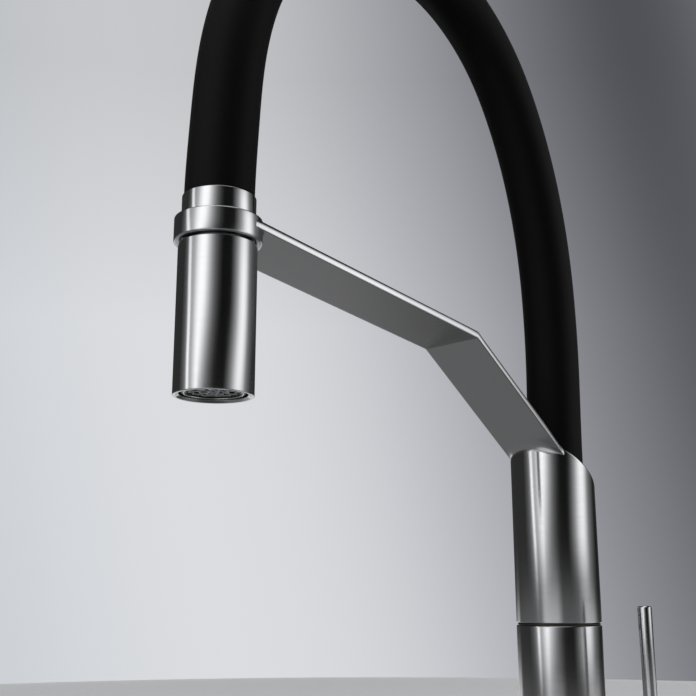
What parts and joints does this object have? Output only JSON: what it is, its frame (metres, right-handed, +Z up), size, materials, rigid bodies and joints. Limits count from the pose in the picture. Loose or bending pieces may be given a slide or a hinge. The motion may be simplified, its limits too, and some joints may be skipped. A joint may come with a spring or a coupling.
{
  "type": "pull down kitchen faucet",
  "caption": "Brushed metal kitchen faucet: round column, flat bent arm docking a slim pull-down spray head under a black rubber hose arch, side lever.",
  "frame": {"origin": "centre of the deck hole, on the countertop's top face, under the base gasket", "axes": "+Z up, spout towards -Y, lever on the +X side"},
  "size_m": [0.084, 0.2805, 0.5624],
  "materials": {
    "brushed_nickel": "brushed satin nickel, grain round the column and head and along the arm",
    "stainless_steel": "plain machined",
    "brass": "turned, unplated",
    "seal_rubber": "matte",
    "hose_rubber": "smooth matte black silicone",
    "white_plastic": "moulded",
    "grey_plastic": "moulded",
    "magnet": "epoxy coated",
    "hose_braid": "woven grey nylon braid"
  },
  "bodies": {
    "base": {"base_gasket": "seal_rubber", "base_flange": "brushed_nickel", "threaded_shank": "brass", "clamp_gasket": "seal_rubber", "clamp_washer": "stainless_steel", "mounting_nut": "brass", "clamp_screw_left": "stainless_steel", "clamp_screw_right": "stainless_steel", "lower_body": "brushed_nickel", "swivel_neck": "brass", "retaining_ring": "stainless_steel", "swivel_washer": "white_plastic", "valve_manifold": "brass", "hot_inlet_tube": "stainless_steel", "cold_inlet_tube": "stainless_steel", "outlet_tube": "stainless_steel", "cartridge_seal": "seal_rubber", "cartridge_body": "grey_plastic", "cartridge_nut": "brass", "dome_cover": "brushed_nickel", "pull_hose_lower": "hose_braid"},
    "spout": {"column_tube": "brushed_nickel", "support_arm": "brushed_nickel", "dock_ring": "brushed_nickel", "dock_magnet": "magnet", "dock_core": "grey_plastic", "hose_ferrule": "brushed_nickel", "hose_carrier": "brass", "hose_socket": "stainless_steel", "spout_hose": "hose_rubber", "hose_liner": "white_plastic", "pull_hose_upper": "hose_braid", "swivel_bush_lower": "white_plastic", "swivel_bush_upper": "white_plastic"},
    "hose_end": {"pull_hose_tail": "hose_braid", "hose_connector": "stainless_steel", "connector_seal": "seal_rubber"},
    "spray_head": {"head_shell": "brushed_nickel", "strike_plate": "stainless_steel", "head_neck": "brass", "water_tube": "white_plastic", "check_valve": "grey_plastic", "aerator_seal": "seal_rubber", "aerator_housing": "grey_plastic", "aerator_insert": "grey_plastic"},
    "valve_rotor": {"cartridge_rotor": "white_plastic", "stem_pin": "stainless_steel"},
    "handle": {"cartridge_stem": "stainless_steel", "handle_hub": "brushed_nickel", "handle_lever": "brushed_nickel", "handle_set_screw": "stainless_steel", "handle_plug": "grey_plastic"}
  },
  "joints": [
    {"name": "spout_swivel", "type": "hinge", "parent": "base", "child": "spout", "pos_m": [0, 0, 0.122], "axis": [0, 0, 1], "range_deg": [-70, 70]},
    {"name": "head_pull", "type": "slide", "parent": "spout", "child": "hose_end", "axis": [0, 0, -1], "range_m": [0, 0.2], "stiffness_N_per_m": 10, "springref_m": -0.3, "deforming": ["pull_hose_tail"]},
    {"name": "head_spin", "type": "hinge", "parent": "hose_end", "child": "spray_head", "pos_m": [0, -0.235, 0.215], "axis": [0, 0, 1], "continuous": true},
    {"name": "handle_temperature", "type": "hinge", "parent": "base", "child": "valve_rotor", "pos_m": [0, 0, 0.06], "axis": [1, 0, 0], "range_deg": [-45, 45]},
    {"name": "handle_flow", "type": "hinge", "parent": "valve_rotor", "child": "handle", "pos_m": [0.036, 0, 0.06], "axis": [0, 1, 0], "range_deg": [0, 20]}
  ]
}
